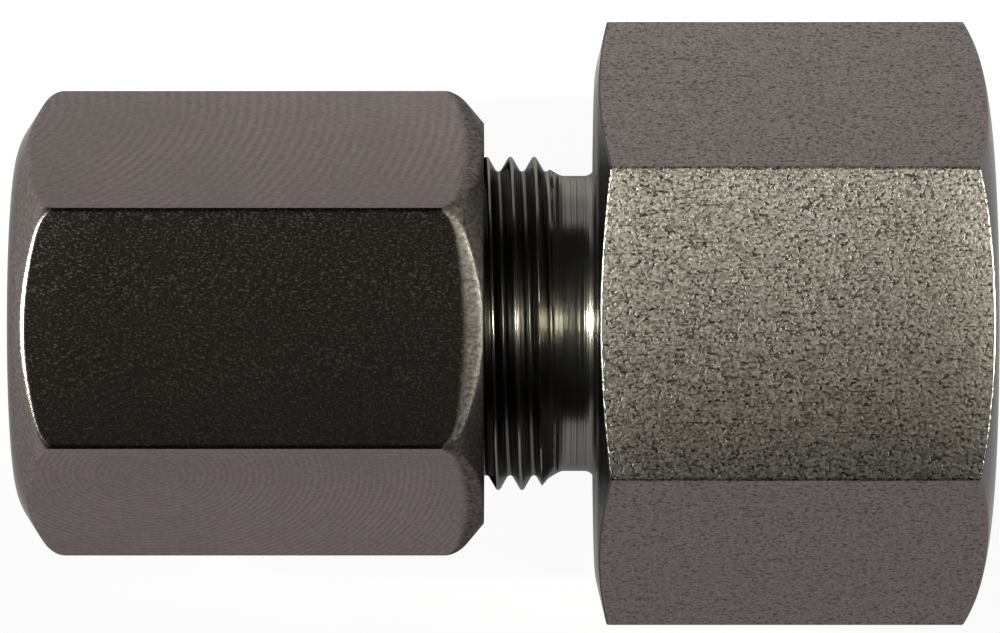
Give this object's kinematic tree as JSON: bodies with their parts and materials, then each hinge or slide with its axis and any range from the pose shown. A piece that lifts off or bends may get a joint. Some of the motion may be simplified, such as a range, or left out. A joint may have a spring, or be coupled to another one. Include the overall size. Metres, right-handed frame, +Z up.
{
  "type": "tube union",
  "caption": "Straight compression fitting for a tube: hexagonal body with a female threaded port, a loose cutting ring and a long hexagonal union nut.",
  "frame": {"origin": "centre of the port's mouth, on the axis of the fitting, in the plane of the body's end face", "axes": "+X out of the port along the axis, so that the nut lies towards -X; +Z up, square to two flats of the body's hexagon"},
  "size_m": [0.0406, 0.0254, 0.022],
  "materials": {
    "body_steel": "machined, finely pitted on the flats",
    "ring_steel": "turned, smooth",
    "nut_steel": "ground, glossy flats with turned ends"
  },
  "bodies": {
    "body": {"body": "body_steel"},
    "cutting_ring": {"cutting_ring": "ring_steel"},
    "union_nut": {"union_nut": "nut_steel"}
  },
  "joints": [
    {"name": "ring_slide", "type": "slide", "parent": "body", "child": "cutting_ring", "axis": [-1, 0, 0], "range_m": [0, 0.007]},
    {"name": "nut_turn", "type": "hinge", "parent": "cutting_ring", "child": "union_nut", "pos_m": [-0.03, 0, 0], "axis": [-1, 0, 0], "range_deg": [0, 2520]}
  ],
  "couplings": [
    {"joint": "ring_slide", "follows": "nut_turn", "m_per_rad": 0.00015915}
  ]
}
